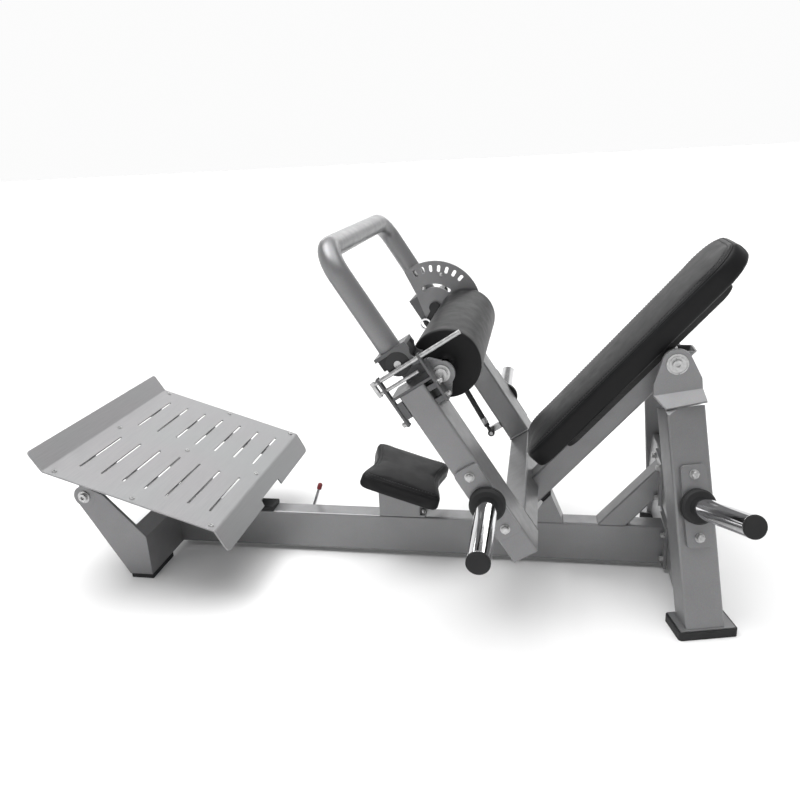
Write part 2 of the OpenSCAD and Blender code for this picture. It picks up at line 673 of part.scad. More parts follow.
module gas_spring_stub() color(zinc)
    on_arm() {
        rod_y(5, gas_eye[1] - 8, arm_in + 12, gas_eye[0], gas_eye[2]);
        translate([gas_eye[0] - 9, arm_in, gas_eye[2] - 9]) cube([18, 12, -gas_eye[2] + 9]);
    }
module gas_cylinder() color(black) on_gas() {
    difference() {
        union() {
            rod_y(10, -6, 6);
            translate([8, 0, 0]) rotate([0, 90, 0]) cylinder(r = 5, h = 30);
            translate([24, 0, 0]) rotate([0, 90, 0]) cylinder(r = 8, h = gas_len * 0.62);
        }
        rod_y(5 + run, -7, 7);
        translate([60, 0, 0]) rotate([0, 90, 0]) cylinder(r = 4.6, h = gas_len);
    }
}
module gas_rod() color(chrome) on_gas() {
    translate([gas_len * 0.35, 0, 0]) rotate([0, 90, 0]) cylinder(r = 4.5, h = gas_len * 0.65 - 15);
    translate([gas_len, 0, -3.5]) difference() {
        rod_y(17, -4, 4);
        rod_y(12, -5, 5);
    }
}

// ---- handle -------------------------------------------------------------------------------

corner_r = 62;                              // bend radius of the handle's corners
leg_y = arm_y - 3;                          // middle of each handle leg
module bent_corner(a)
    rotate([0, 0, a]) rotate([0, 0, 0]) rotate_extrude(angle = 90, $fn = 64) translate([corner_r, 0]) circle(handle_r);
// The U lies in a plane through the pivot, running up the line of the arms
module handle_tube() color(silver)
    on_arm() difference() {
        translate([hub_u, 0, hub_n - 6]) {
            for (s = [-1, 1])
                translate([-(handle_reach - corner_r), s * leg_y, 0]) rotate([0, 90, 0])
                    cylinder(r = handle_r, h = handle_reach - corner_r - 34);
            translate([-handle_reach, leg_y - corner_r, 0]) rotate([90, 0, 0])
                cylinder(r = handle_r, h = 2 * (leg_y - corner_r));
            translate([-(handle_reach - corner_r), leg_y - corner_r, 0]) bent_corner(90);
            translate([-(handle_reach - corner_r), -(leg_y - corner_r), 0]) bent_corner(180);
        }
        rod_y(7, arm_in, arm_in + 26, on_hub(index_r, index_start)[0], on_hub(index_r, index_start)[1]);
    }
// Saddle plate with two side walls at the foot of each handle leg
module handle_socket(y0, y1) {
    block([-96, -88], [-5, 75], [y0, y1]);
    for (y = [y0, y1 - 6]) translate([0, y + 6, 0]) rotate([90, 0, 0]) linear_extrude(6) difference() {
        polygon([[-89, 75], [-89, 36], [-62, 36], [-42, 64], [-40, 78], [-52, 80], [-66, 76]]);
        translate([-66, 88]) circle(17);
    }
}
module handle_sockets() color(silver)
    on_arm() difference() {
        union() {
            handle_socket(hub_y[0], hub_y[1]);
            handle_socket(arm_in + far_wall + 1, arm_out - 10);
        }
        for (s = [-1, 1]) rod_y(27.3, min(s * 200, s * 360), max(s * 200, s * 360), hub_u, hub_n);
    }
// Pivot drum at the foot of each handle leg
module handle_hub(y0, y1) {
    rod_y(27, y0, y1, hub_u, hub_n);
    block([-88, hub_u], [-1, 71], [y0 + 6, y1 - 6]);
}
// The near drum turns on a pin; the far one has a shaft that runs through the sector to the crank
module handle_hubs() color([0.16, 0.16, 0.17])
    on_arm() {
        difference() {
            handle_hub(hub_y[0], hub_y[1]);
            rod_y(hub_pin_r + run, hub_y[0] - 1, hub_y[1] + 1, hub_u, hub_n);
        }
        handle_hub(arm_in + far_wall + 1, arm_out - 10);
        rod_y(hub_pin_r - 0.5, arm_in - 14, arm_out + 1, hub_u, hub_n);
        crank();
    }
// Crank that the gas spring pushes, on the inner side of the sector
module crank() {
    translate([hub_u, arm_in - 11 - gap, hub_n]) rotate([0, 90 - handle_swing / 2, 0])
        rotate([90, 0, 0]) linear_extrude(6) {
            circle(16);
            translate([crank_r, 0]) circle(9);
            translate([0, -7]) square([crank_r, 14]);
        }
    rod_y(5, gas_pin[1] - 7, arm_in - 12, gas_pin[0], gas_pin[2]);
}
// Index pin on the far handle leg; its nose stops at the face of the sector's first slot
module index_pin() color(zinc)
    on_arm() translate([on_hub(index_r, index_start)[0], 0, on_hub(index_r, index_start)[1]]) {
        rod_y(4, arm_in + gap, arm_in + 4);
        rod_y(7, arm_in + 3, arm_in + 26);
    }

// ---- release rod --------------------------------------------------------------------------

module release_rod() color(zinc)
    on_arm() translate([0, -346, 0]) {
        translate([-53, 0, -34]) cylinder(r = 5, h = 222);
        translate([-28, 0, -34]) cylinder(r = 4, h = 102);
        translate([-59, -5, -38]) cube([37, 10, 8]);
    }

// ---- hip roller ---------------------------------------------------------------------------

module roller_pad() color(vinyl)
    on_arm() translate([roller_u, roller_y[0], roller_n]) rotate([-90, 0, 0]) rotate_extrude($fn = 72)
        difference() {
            translate([axle_r + run, 0]) square([roller_r - axle_r - run, roller_y[1] - roller_y[0]]);
            for (k = [0, 1]) translate([roller_r, k * (roller_y[1] - roller_y[0])])
                rotate(45) square(7, center = true);
        }

main_beam();
front_plate_near();
front_plate_far();
front_cross_plate();
front_feet();
stop_pads();
foot_pivot_bolts();
foot_plate();
foot_plate_frame();
foot_plate_screws();
lock_rod();
lock_tip();
seat_post();
seat_pad();
rest_bracket();
brace();
upper_bridge();
lower_bridge();
leg_near();
leg_far();
leg_bases();
rear_feet();
pivot_plate_near();
pivot_plate_far();
pivot_bearings();
pivot_shaft();
storage_horn_near();
storage_horn_far();
storage_collars();
storage_caps();
leg_horn_plates();
frame_bolts();
arm_near();
arm_far();
cross_tube();
back_tube();
pivot_hub();
pad_board();
back_pad();
yoke_near();
yoke_far();
sector_plate();
roller_lug();
roller_axle();
handle_pivot_pin();
weight_horn_near();
weight_horn_far();
weight_collars();
weight_caps();
arm_horn_plates();
arm_bolts();
gas_spring_stub();
handle_tube();
handle_sockets();
handle_hubs();
index_pin();
release_rod();
roller_pad();
gas_cylinder();
gas_rod();
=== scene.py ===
"""Looks of a plate-loaded hip thrust machine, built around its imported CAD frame."""

import json
import math
import random

import bmesh
import bpy
import numpy as np
from mathutils import Matrix, Vector
from mathutils.bvhtree import BVHTree


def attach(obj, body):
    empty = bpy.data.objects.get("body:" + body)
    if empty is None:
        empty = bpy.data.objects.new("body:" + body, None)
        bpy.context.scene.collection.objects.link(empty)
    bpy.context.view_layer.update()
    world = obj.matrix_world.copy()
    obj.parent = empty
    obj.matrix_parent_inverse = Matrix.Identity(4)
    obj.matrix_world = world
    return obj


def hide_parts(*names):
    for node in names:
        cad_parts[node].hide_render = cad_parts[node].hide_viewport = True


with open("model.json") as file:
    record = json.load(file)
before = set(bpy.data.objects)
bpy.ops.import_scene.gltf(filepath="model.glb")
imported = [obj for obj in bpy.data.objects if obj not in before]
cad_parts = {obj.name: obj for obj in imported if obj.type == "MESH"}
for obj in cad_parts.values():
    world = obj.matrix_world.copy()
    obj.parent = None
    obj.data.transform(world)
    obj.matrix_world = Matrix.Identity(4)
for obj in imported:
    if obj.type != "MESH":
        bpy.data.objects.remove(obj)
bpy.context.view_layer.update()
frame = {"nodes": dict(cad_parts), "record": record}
NODES = frame["nodes"]
MM = 0.001

# Lean of the swing frame's parts, the same as in the part's source
BACK_ANGLE = math.radians(48.4)
ARM_ANGLE = math.radians(58.15)
SEAT_TILT = math.radians(18)
PLATE_SLOPE = math.radians(18.3)


# ---- materials ----------------------------------------------------------------------------


class Shader:
    """A principled material and short ways to add its nodes."""

    def __init__(self, name, color, metallic=0.0, roughness=0.5):
        self.material = bpy.data.materials.new(name)
        self.material.use_nodes = True
        self.tree = self.material.node_tree
        self.bsdf = self.tree.nodes["Principled BSDF"]
        self.bsdf.inputs["Base Color"].default_value = (*color, 1)
        self.bsdf.inputs["Metallic"].default_value = metallic
        self.bsdf.inputs["Roughness"].default_value = roughness
        self.coords = self.tree.nodes.new("ShaderNodeTexCoord")

    def node(self, kind, **values):
        made = self.tree.nodes.new(kind)
        for key, value in values.items():
            if key in made.inputs:
                made.inputs[key].default_value = value
            else:
                setattr(made, key, value)
        return made

    def link(self, output, socket):
        self.tree.links.new(output, socket)

    def mapped(self, scale=(1, 1, 1), turn=(0, 0, 0)):
        mapping = self.node("ShaderNodeMapping")
        mapping.inputs["Scale"].default_value = scale
        mapping.inputs["Rotation"].default_value = turn
        self.link(self.coords.outputs["Object"], mapping.inputs["Vector"])
        return mapping.outputs["Vector"]

    def noise(self, scale, detail=3.0, stretch=(1, 1, 1), turn=(0, 0, 0)):
        made = self.node("ShaderNodeTexNoise", Scale=scale, Detail=detail)
        self.link(self.mapped(stretch, turn), made.inputs["Vector"])
        return made.outputs["Fac"]

    def voronoi(self, scale, feature="F1", output="Distance"):
        made = self.node("ShaderNodeTexVoronoi", feature=feature, Scale=scale)
        self.link(self.mapped(), made.inputs["Vector"])
        return made.outputs[output]

    def span(self, factor, low, high, start=0.3, end=0.7):
        """Maps a 0 to 1 texture onto a range of numbers."""
        made = self.node("ShaderNodeMapRange")
        made.inputs["From Min"].default_value = start
        made.inputs["From Max"].default_value = end
        made.inputs["To Min"].default_value = low
        made.inputs["To Max"].default_value = high
        self.link(factor, made.inputs["Value"])
        return made.outputs["Result"]

    def blend(self, factor, first, second, start=0.3, end=0.7):
        """Mixes two colours by a texture."""
        ramp = self.node("ShaderNodeValToRGB")
        ramp.color_ramp.elements[0].position = start
        ramp.color_ramp.elements[0].color = (*first, 1)
        ramp.color_ramp.elements[1].position = end
        ramp.color_ramp.elements[1].color = (*second, 1)
        self.link(factor, ramp.inputs["Fac"])
        return ramp.outputs["Color"]

    def bump(self, height, strength, distance, normal=None):
        made = self.node("ShaderNodeBump", Strength=strength, Distance=distance)
        self.link(height, made.inputs["Height"])
        if normal is not None:
            self.link(normal, made.inputs["Normal"])
        return made.outputs["Normal"]

    def soft_edges(self, radius):
        made = self.node("ShaderNodeBevel", samples=4, Radius=radius)
        return made.outputs["Normal"]

    def set(self, socket, output):
        self.link(output, self.bsdf.inputs[socket])


def scaled(color, k):
    return tuple(c * k for c in color)


def powder_coat(name, color, metallic=0.45, roughness=0.42):
    """Metallic powder coat: fine flake, slight orange peel and soft edges."""
    s = Shader(name, color, metallic, roughness)
    flake = s.voronoi(900, output="Color")
    cloud = s.noise(6, 4)
    tint = s.blend(cloud, scaled(color, 0.93), scaled(color, 1.06))
    mix = s.node("ShaderNodeMix", data_type="RGBA", blend_type="SOFT_LIGHT")
    mix.inputs[0].default_value = 0.12
    s.link(tint, mix.inputs[6])
    s.link(flake, mix.inputs[7])
    s.set("Base Color", mix.outputs[2])
    s.set("Roughness", s.span(s.noise(40, 5), roughness - 0.05, roughness + 0.07))
    peel = s.bump(s.noise(420, 2), 0.10, 0.0006, s.soft_edges(0.0018))
    s.set("Normal", peel)
    s.bsdf.inputs["Coat Weight"].default_value = 0.12
    s.bsdf.inputs["Coat Roughness"].default_value = 0.25
    return s.material


def brushed_sheet(name, color):
    """Brushed aluminium with fine cross grain and a faint coloured bloom."""
    s = Shader(name, color, 0.55, 0.5)
    grain = s.noise(60, 6, stretch=(14, 0.25, 14), turn=(0, -PLATE_SLOPE, 0))
    bloom = s.noise(3.2, 3)
    warm = s.blend(bloom, (0.60, 0.66, 0.64), (0.66, 0.60, 0.62), 0.42, 0.58)
    mix = s.node("ShaderNodeMix", data_type="RGBA", blend_type="MULTIPLY")
    mix.inputs[0].default_value = 0.9
    s.link(s.blend(grain, scaled(color, 0.9), scaled(color, 1.08)), mix.inputs[6])
    lift = s.node("ShaderNodeMix", data_type="RGBA", blend_type="MIX")
    lift.inputs[0].default_value = 0.25
    lift.inputs[6].default_value = (1, 1, 1, 1)
    s.link(warm, lift.inputs[7])
    s.link(lift.outputs[2], mix.inputs[7])
    s.set("Base Color", mix.outputs[2])
    s.set("Roughness", s.span(grain, 0.44, 0.60))
    s.set("Normal", s.bump(grain, 0.12, 0.0004, s.soft_edges(0.001)))
    return s.material


def polished(name, color, roughness):
    """Chrome with a light haze of smudges."""
    s = Shader(name, color, 1.0, roughness)
    smudge = s.noise(14, 5, stretch=(1, 1, 1))
    s.set("Roughness", s.span(smudge, roughness, roughness + 0.07, 0.45, 0.75))
    s.set("Base Color", s.blend(smudge, color, scaled(color, 0.93), 0.4, 0.8))
    s.set("Normal", s.soft_edges(0.0008))
    return s.material


def plated(name, color):
    """Dull zinc plate on bolts, pins and bearings."""
    s = Shader(name, color, 0.95, 0.34)
    patch = s.noise(120, 4)
    s.set("Base Color", s.blend(patch, scaled(color, 0.72), scaled(color, 1.08)))
    s.set("Roughness", s.span(patch, 0.26, 0.44))
    s.set("Normal", s.bump(s.noise(600, 2), 0.08, 0.0003, s.soft_edges(0.0007)))
    return s.material


def rubber(name, color):
    """Moulded rubber with a fine pebble, patches of dust and soft edges."""
    s = Shader(name, color, 0.0, 0.72)
    dust = s.noise(22, 5)
    s.set("Base Color", s.blend(dust, color, scaled(color, 1.9), 0.35, 0.8))
    s.set("Roughness", s.span(dust, 0.62, 0.82))
    s.set("Normal", s.bump(s.voronoi(700), 0.18, 0.0005, s.soft_edges(0.0012)))
    return s.material


def leather_grain(name, color, roughness=0.5, grain=430):
    """Black upholstery vinyl: pebbled grain, fine creases and a soft sheen."""
    s = Shader(name, color, 0.0, roughness)
    cells = s.voronoi(grain, feature="SMOOTH_F1")
    creases = s.noise(35, 6)
    s.set("Base Color", s.blend(creases, scaled(color, 0.85), scaled(color, 1.2)))
    s.set("Roughness", s.span(creases, roughness - 0.04, roughness + 0.06))
    coarse = s.bump(creases, 0.04, 0.001)
    s.set("Normal", s.bump(cells, 0.22, 0.0005, coarse))
    s.bsdf.inputs["Specular IOR Level"].default_value = 0.22
    s.bsdf.inputs["Sheen Weight"].default_value = 0.01
    s.bsdf.inputs["Sheen Roughness"].default_value = 0.5
    return s.material


def thread(name, color):
    s = Shader(name, color, 0.0, 0.7)
    twist = s.noise(900, 2)
    s.set("Base Color", s.blend(twist, scaled(color, 0.6), scaled(color, 1.3)))
    s.set("Normal", s.bump(twist, 0.5, 0.0004))
    return s.material


def painted_board(name, color):
    s = Shader(name, color, 0.0, 0.65)
    grain = s.noise(30, 6, stretch=(1, 8, 8), turn=(0, BACK_ANGLE, 0))
    s.set("Base Color", s.blend(grain, scaled(color, 0.7), scaled(color, 1.3)))
    s.set("Normal", s.bump(grain, 0.3, 0.0006, s.soft_edges(0.0015)))
    return s.material


def soft_plastic(name, color):
    s = Shader(name, color, 0.0, 0.42)
    wear = s.noise(60, 5)
    s.set("Base Color", s.blend(wear, scaled(color, 0.8), scaled(color, 1.2)))
    s.set("Roughness", s.span(wear, 0.35, 0.55))
    s.set("Normal", s.bump(s.noise(400, 2), 0.1, 0.0004))
    return s.material


SLOT_MATERIALS = {
    "frame_paint": powder_coat("frame_paint", (0.21, 0.21, 0.214), 0.5, 0.36),
    # yoke_paint is frame_paint at half the brightness: a shaded copy that paints shade onto the parts
    # sitting in shadow
    "yoke_paint": powder_coat("yoke_paint", (0.10, 0.10, 0.103), 0.5, 0.36),
    # hub_black is partly the hub's own dark paint and partly painted shade for the shadowed interior of the
    # hub
    "hub_black": powder_coat("hub_black", (0.012, 0.012, 0.013), 0.2, 0.45),
    "foot_sheet": brushed_sheet("foot_sheet", (0.34, 0.34, 0.345)),
    "chrome": polished("chrome", (0.72, 0.72, 0.73), 0.07),
    "zinc": plated("zinc", (0.52, 0.52, 0.52)),
    "rubber": rubber("rubber", (0.006, 0.006, 0.0065)),
    "vinyl": leather_grain("vinyl", (0.0055, 0.0055, 0.006), 0.46),
    "board": painted_board("board", (0.02, 0.02, 0.02)),
    "red_tip": soft_plastic("red_tip", (0.16, 0.012, 0.015)),
}
THREAD = thread("thread", (0.05, 0.05, 0.052))
# Weld beads in the frame's powder coat, made lighter than the frame around them: a painted highlight
WELD_LIT_PAINT = powder_coat("weld", (0.33, 0.33, 0.335), 0.45, 0.38)


def dress_cad_nodes():
    """Gives every CAD node the material of its slot; the darker slots yoke_paint and hub_black carry
    painted shade.
    """
    slot_of = {}
    for sub in frame["record"]["subparts"]:
        slot_of[sub["node"]] = sub["material_slot"]
    for name, obj in NODES.items():
        obj.data.materials.clear()
        obj.data.materials.append(SLOT_MATERIALS[slot_of[name]])


# ---- making pieces ------------------------------------------------------------------------


def object_from_bmesh(name, mesh, material, place=Matrix.Identity(4)):
    data = bpy.data.meshes.new(name)
    bmesh.ops.recalc_face_normals(mesh, faces=mesh.faces[:])
    mesh.to_mesh(data)
    mesh.free()
    data.transform(place)
    for polygon in data.polygons:
        polygon.use_smooth = True
    data.materials.append(material)
    obj = bpy.data.objects.new(name, data)
    bpy.context.scene.collection.objects.link(obj)
    return obj


def apply_modifier(obj, name):
    bpy.context.view_layer.objects.active = obj
    bpy.ops.object.modifier_apply(modifier=name)


def remesh(obj, voxel):
    modifier = obj.modifiers.new("remesh", "REMESH")
    modifier.mode = "VOXEL"
    modifier.voxel_size = voxel
    modifier.use_smooth_shade = True
    apply_modifier(obj, "remesh")
    relax = obj.modifiers.new("relax", "SMOOTH")
    relax.factor = 0.5
    relax.iterations = 3
    apply_modifier(obj, "relax")


def subdivide(obj, levels=1):
    modifier = obj.modifiers.new("smooth", "SUBSURF")
    modifier.levels = levels
    modifier.render_levels = levels
    apply_modifier(obj, "smooth")


def inflate(obj, pinned, pressure=4.0, cap=0.006, frames=20):
    """Blows a closed form up as cloth, keeping the pinned vertices where they are."""
    before = [v.co.copy() for v in obj.data.vertices]
    group = obj.vertex_groups.new(name="pinned")
    group.add([i for i, co in enumerate(before) if pinned(co)], 1.0, "REPLACE")
    modifier = obj.modifiers.new("cloth", "CLOTH")
    settings = modifier.settings
    settings.quality = 6
    settings.use_pressure = True
    settings.uniform_pressure_force = pressure
    settings.vertex_group_mass = "pinned"
    settings.tension_stiffness = 25
    settings.compression_stiffness = 25
    settings.bending_stiffness = 1.5
    settings.effector_weights.gravity = 0
    modifier.collision_settings.use_collision = False
    scene = bpy.context.scene
    for step in range(1, frames + 1):
        scene.frame_set(step)
    evaluated = obj.evaluated_get(bpy.context.evaluated_depsgraph_get())
    after = [v.co.copy() for v in evaluated.data.vertices]
    obj.modifiers.remove(modifier)
    scene.frame_set(1)
    for vertex, start, end in zip(obj.data.vertices, before, after):
        move = end - start
        if move.length > cap:
            move = move.normalized() * cap
        vertex.co = start + move
    obj.data.update()
    relax = obj.modifiers.new("relax", "SMOOTH")
    relax.factor = 0.5
    relax.iterations = 5
    apply_modifier(obj, "relax")


def tube_along(points, radius, sides=8, closed=True):
    """A round tube of one radius along a list of points."""
    mesh = bmesh.new()
    count = len(points)
    rings = []
    side = Vector((0, 0, 1))
    for i, point in enumerate(points):
        ahead = points[(i + 1) % count] if closed or i + 1 < count else points[i]
        behind = points[i - 1] if closed or i > 0 else points[i]
        run = (ahead - behind).normalized()
        side = (side - run * side.dot(run)).normalized()
        up = run.cross(side)
        ring = []
        for k in range(sides):
            turn = 2 * math.pi * k / sides
            ring.append(mesh.verts.new(point + radius * (math.cos(turn) * side + math.sin(turn) * up)))
        rings.append(ring)
    pairs = count if closed else count - 1
    for i in range(pairs):
        first, second = rings[i], rings[(i + 1) % count]
        for k in range(sides):
            mesh.faces.new((first[k], first[(k + 1) % sides], second[(k + 1) % sides], second[k]))
    if not closed:
        mesh.faces.new(rings[0])
        mesh.faces.new(rings[-1])
    return mesh


def rounded_outline(length, width, radius, waist=0.0, step=0.004, far_radius=None):
    """Points round a rectangle with round corners; waist pulls in the middle of each end."""
    points = []
    corners = [(1, 1, 0), (-1, 1, 1), (-1, -1, 2), (1, -1, 3)]
    for sx, sy, quarter in corners:
        r = far_radius if far_radius and sx > 0 else radius
        centre = Vector((sx * (length / 2 - r), sy * (width / 2 - r)))
        arc = max(4, int(r * math.pi / 2 / step))
        for k in range(arc + 1):
            turn = math.pi / 2 * (quarter + k / arc)
            points.append(centre + r * Vector((math.cos(turn), math.sin(turn))))
    even = []
    for first, second in zip(points, points[1:] + points[:1]):
        pieces = max(1, int((second - first).length / step))
        for k in range(pieces):
            even.append(first.lerp(second, k / pieces))
    if waist:
        for p in even:
            across = math.cos(math.pi * min(1.0, abs(p.y) / (width / 2)) / 2) ** 2
            p.x -= math.copysign(1, p.x) * waist * across * min(1, abs(p.x) / (length / 2)) ** 2
    return even


def inset(points, distance):
    """The outline moved inwards by a distance, towards its own middle line."""
    count = len(points)
    moved = []
    for i, p in enumerate(points):
        run = (points[(i + 1) % count] - points[i - 1]).normalized()
        moved.append(p + Vector((-run.y, run.x)) * distance)
    return moved


def pad_form(outline, thickness, crown, edge, foot=0.005):
    """A crowned closed form over an outline, standing on z = 0."""
    mesh = bmesh.new()
    profile = [(foot, 0.0), (foot * 0.3, foot * 0.35), (0.0, foot)]
    side_top = thickness - edge
    for k in range(1, 4):
        profile.append((0.0, foot + (side_top - foot) * k / 3))
    for k in range(1, 7):
        turn = math.pi / 2 * k / 6
        profile.append((edge * (1 - math.cos(turn)), side_top + edge * math.sin(turn)))
    reach = min(max(p.y for p in outline), max(p.x for p in outline))
    for k in range(1, 8):
        part = k / 8
        rise = crown * (1 - (1 - part) ** 2)
        profile.append((edge + (reach - edge) * part * 0.985, thickness + rise))
    rings = []
    for depth, height in profile:
        ring = inset(outline, depth) if depth <= edge else None
        if ring is None:
            base = inset(outline, edge)
            k = (reach - depth) / (reach - edge)
            mid = max(p.x for p in base) - max(p.y for p in base)
            ring = []
            for p in base:
                core = Vector((max(-mid, min(mid, p.x)), 0)) if mid > 0 else Vector((0, 0))
                ring.append(core + (p - core) * k)
        rings.append([mesh.verts.new((p.x, p.y, height)) for p in ring])
    count = len(outline)
    for low, high in zip(rings, rings[1:]):
        for i in range(count):
            j = (i + 1) % count
            mesh.faces.new((low[i], low[j], high[j], high[i]))
    mesh.faces.new(rings[0])
    mesh.faces.new(rings[-1])
    return mesh


def surface_points(obj, starts, direction_of):
    """Where rays from outside a piece first meet its surface."""
    tree = BVHTree.FromObject(obj, bpy.context.evaluated_depsgraph_get())
    found = []
    for start in starts:
        hit, normal, _, _ = tree.ray_cast(start, direction_of(start))
        if hit is not None:
            found.append((hit, normal))
    return found


def press_groove(obj, line, width, depth):
    """Pulls a piece's surface in along a sewn line."""
    tree = BVHTree.FromPolygons(
        [p for p in line], [(i, (i + 1) % len(line), i) for i in range(len(line))]
    )
    normals = [v.normal.copy() for v in obj.data.vertices]
    for vertex, normal in zip(obj.data.vertices, normals):
        near, _, _, gap = tree.find_nearest(vertex.co, width)
        if near is not None:
            vertex.co -= normal * depth * (1 - gap / width) ** 2
    obj.data.update()


def stitches(name, line, normals, pitch, length, radius, body):
    """Short thread stitches that follow a sewn line."""
    mesh = bmesh.new()
    run = 0.0
    for i in range(len(line)):
        first, second = line[i], line[(i + 1) % len(line)]
        run += (second - first).length
        if run < pitch:
            continue
        run = 0.0
        along = (second - first).normalized()
        up = normals[i]
        across = along.cross(up).normalized()
        middle = first + up * radius * 0.3
        rows = []
        for k, swell in enumerate((0.35, 0.9, 1.0, 0.9, 0.35)):
            centre = middle + along * length * (k / 4 - 0.5)
            ring = []
            for q in range(6):
                turn = math.pi * q / 3
                ring.append(mesh.verts.new(
                    centre + radius * swell * (math.cos(turn) * across + math.sin(turn) * up)))
            rows.append(ring)
        for low, high in zip(rows, rows[1:]):
            for q in range(6):
                r = (q + 1) % 6
                mesh.faces.new((low[q], low[r], high[r], high[q]))
        mesh.faces.new(rows[0])
        mesh.faces.new(rows[-1])
    obj = object_from_bmesh(name, mesh, THREAD)
    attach(obj, body)
    return obj


# ---- upholstery ---------------------------------------------------------------------------


def offset_loop(outline, distance, height):
    return [Vector((p.x, p.y, height)) for p in inset(outline, distance)]


def upholstered_pad(name, node, body, outline, thickness, crown, edge, place, voxel, cap, seam_in):
    """A foam pad under vinyl: crowned, blown up as cloth, seamed and stitched."""
    shrink = 0.0025
    form = pad_form(inset(outline, shrink), thickness - crown - shrink, crown, edge)
    pad = object_from_bmesh(name, form, SLOT_MATERIALS["vinyl"])
    remesh(pad, voxel)
    inflate(pad, lambda co: co.z < 0.004, cap=cap)
    subdivide(pad)
    far = 0.05
    ring = offset_loop(outline, -far, thickness - edge * 0.3 + far * 0.9)
    targets = offset_loop(outline, edge * 0.55, thickness - crown - edge * 0.35)
    line = []
    normals = []
    tree = BVHTree.FromObject(pad, bpy.context.evaluated_depsgraph_get())
    for start, target in zip(ring, targets):
        hit, normal, _, _ = tree.ray_cast(start, (target - start).normalized())
        if hit is not None:
            line.append(hit)
            normals.append(normal)
    press_groove(pad, line, 0.006, 0.0016)
    starts = offset_loop(outline, seam_in, thickness + 0.05)
    down = Vector((0, 0, -1))
    hits = surface_points(pad, starts, lambda s: down)
    sewn = [h for h, _ in hits]
    press_groove(pad, sewn, 0.005, 0.0010)
    raised = [place @ (h + n * 0.0001) for h, n in hits]
    facing = [(place.to_3x3() @ n).normalized() for _, n in hits]
    stitches(f"{name}_stitches_top", raised, facing, 0.0065, 0.0048, 0.00065, body)
    welt = [place @ (h - n * 0.0008) for h, n in zip(line, normals)]
    cord = object_from_bmesh(f"{name}_welt", tube_along(welt, 0.0016), SLOT_MATERIALS["vinyl"])
    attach(cord, body)
    pad.data.transform(place)
    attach(pad, body)
    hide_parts(node)
    return pad


BACK_LENGTH = 0.690
BACK_WIDTH = 0.240
BACK_LOW_END = 0.494
BACK_UNDERSIDE = -0.0941
PAD_THICKNESS = 0.062


def build_back_pad():
    place = (
        Matrix.Rotation(-BACK_ANGLE, 4, "Y")
        @ Matrix.Translation((BACK_LOW_END + BACK_LENGTH / 2, 0, BACK_UNDERSIDE))
    )
    outline = rounded_outline(BACK_LENGTH, BACK_WIDTH, 0.048, far_radius=0.085)
    upholstered_pad("back_cushion", "back_pad", "swing_frame", outline, PAD_THICKNESS, 0.007, 0.013,
                    place, 0.005, 0.0016, 0.020)


SEAT_MIDDLE = (0.045, 0, 0.250)
SEAT_UNDERSIDE = -0.0336
SEAT_THICKNESS = 0.046


def build_seat_pad():
    place = (
        Matrix.Translation(SEAT_MIDDLE)
        @ Matrix.Rotation(SEAT_TILT, 4, "Y")
        @ Matrix.Translation((0, 0, SEAT_UNDERSIDE))
    )
    outline = rounded_outline(0.226, 0.238, 0.028, waist=0.018)
    upholstered_pad("seat_cushion", "seat_pad", "base", outline, SEAT_THICKNESS, 0.004, 0.009,
                    place, 0.004, 0.0022, 0.018)


ROLLER_MIDDLE = Vector((0.1916, -0.0065, 0.6249))
ROLLER_RADIUS = 0.0795
ROLLER_HALF = 0.2420
AXLE_BORE = 0.0125


def build_roller():
    """The hip roller: foam under vinyl, flat ends and a seam round each rim."""
    rim = 0.006
    profile = [(AXLE_BORE, -ROLLER_HALF)]
    for part in (0.3, 0.6, 0.85):
        radius = AXLE_BORE + (ROLLER_RADIUS - rim - AXLE_BORE) * part
        profile.append((radius, -ROLLER_HALF - 0.0012 * math.sin(math.pi * part)))
    for k in range(5):
        turn = math.pi / 2 * k / 4
        out = ROLLER_RADIUS - rim + rim * math.sin(turn)
        profile.append((out, -ROLLER_HALF + rim * (1 - math.cos(turn))))
    body = list(profile)
    steps = 40
    for k in range(1, steps):
        y = (-ROLLER_HALF + rim) + 2 * (ROLLER_HALF - rim) * k / steps
        body.append((ROLLER_RADIUS, y))
    body += [(r, -y) for r, y in reversed(profile)]
    mesh = bmesh.new()
    sides = 96
    rings = []
    draw = random.Random(7)
    phase = [draw.uniform(0, 2 * math.pi) for _ in range(6)]
    for radius, y in body:
        ring = []
        for k in range(sides):
            turn = 2 * math.pi * k / sides
            ease = 0.0
            if radius > ROLLER_RADIUS - 0.0001:
                ease = math.sin(phase[0] + 3 * turn + 18 * y) + 0.7 * math.sin(phase[1] + 5 * turn - 31 * y)
                ease += 0.5 * math.sin(phase[2] + 2 * turn + 47 * y)
            r = radius + 0.00006 * ease
            ring.append(mesh.verts.new((r * math.cos(turn), y, r * math.sin(turn))))
        rings.append(ring)
    rings.append(rings[0])
    for low, high in zip(rings, rings[1:]):
        for k in range(sides):
            j = (k + 1) % sides
            mesh.faces.new((low[k], low[j], high[j], high[k]))
    place = Matrix.Translation(ROLLER_MIDDLE)
    roller = object_from_bmesh("hip_roller", mesh, SLOT_MATERIALS["vinyl"], place)
    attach(roller, "roller")
    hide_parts("roller_pad")
    for side in (-1, 1):
        circle = []
        for k in range(120):
            turn = 2 * math.pi * k / 120
            r = ROLLER_RADIUS - 0.0022
            edge = side * (ROLLER_HALF - 0.0016)
            circle.append(ROLLER_MIDDLE + Vector((r * math.cos(turn), edge, r * math.sin(turn))))
        cord = object_from_bmesh(f"roller_welt_{(side + 1) // 2}", tube_along(circle, 0.0016),
                                 SLOT_MATERIALS["vinyl"])
        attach(cord, "roller")


# ---- weld beads ---------------------------------------------------------------------------


